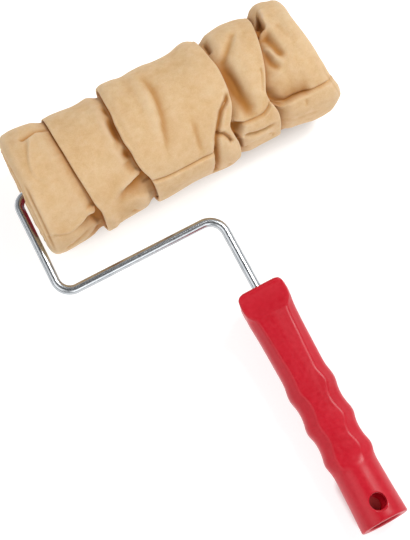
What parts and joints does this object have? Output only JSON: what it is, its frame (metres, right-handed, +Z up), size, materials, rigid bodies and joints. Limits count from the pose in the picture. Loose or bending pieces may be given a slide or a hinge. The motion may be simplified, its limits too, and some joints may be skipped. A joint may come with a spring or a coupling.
{
  "type": "paint roller",
  "caption": "Hand paint roller: moulded red handle with finger grips, bent zinc-plated wire frame, free-turning cage and a pull-off sleeve covered in gathered chamois leather.",
  "frame": {"origin": "centre of the tool's box at floor level, with the tool lying at rest on its cover and the handle's tail", "axes": "+X along the roller's axle to its free end, +Y from the handle to the roller, +Z up from the floor"},
  "size_m": [0.2176, 0.3172, 0.077],
  "materials": {
    "handle_plastic": "satin",
    "cap_plastic": "satin",
    "zinc_wire": "satin",
    "cage_steel": "satin",
    "washer_steel": "satin",
    "nylon": "matte",
    "core_board": "matte",
    "padding_foam": "matte",
    "chamois": "matte"
  },
  "bodies": {
    "frame": {"handle": "handle_plastic", "frame_rod": "zinc_wire", "inner_washer": "washer_steel", "outer_washer": "washer_steel", "retaining_nut": "washer_steel"},
    "cage": {"inner_end_cap": "cap_plastic", "outer_end_cap": "cap_plastic", "inner_bearing": "nylon", "outer_bearing": "nylon", "cage_wire_1": "cage_steel", "cage_wire_2": "cage_steel", "cage_wire_3": "cage_steel", "cage_wire_4": "cage_steel", "cage_wire_5": "cage_steel"},
    "sleeve": {"core_tube": "core_board", "foam_padding": "padding_foam", "chamois_cover": "chamois"}
  },
  "joints": [
    {"name": "roller_spin", "type": "hinge", "parent": "frame", "child": "cage", "pos_m": [0, 0.12012, 0.0385], "axis": [1, 0, 0], "continuous": true},
    {"name": "sleeve_pull_off", "type": "slide", "parent": "cage", "child": "sleeve", "axis": [1, 0, 0], "range_m": [0, 0.21]}
  ]
}
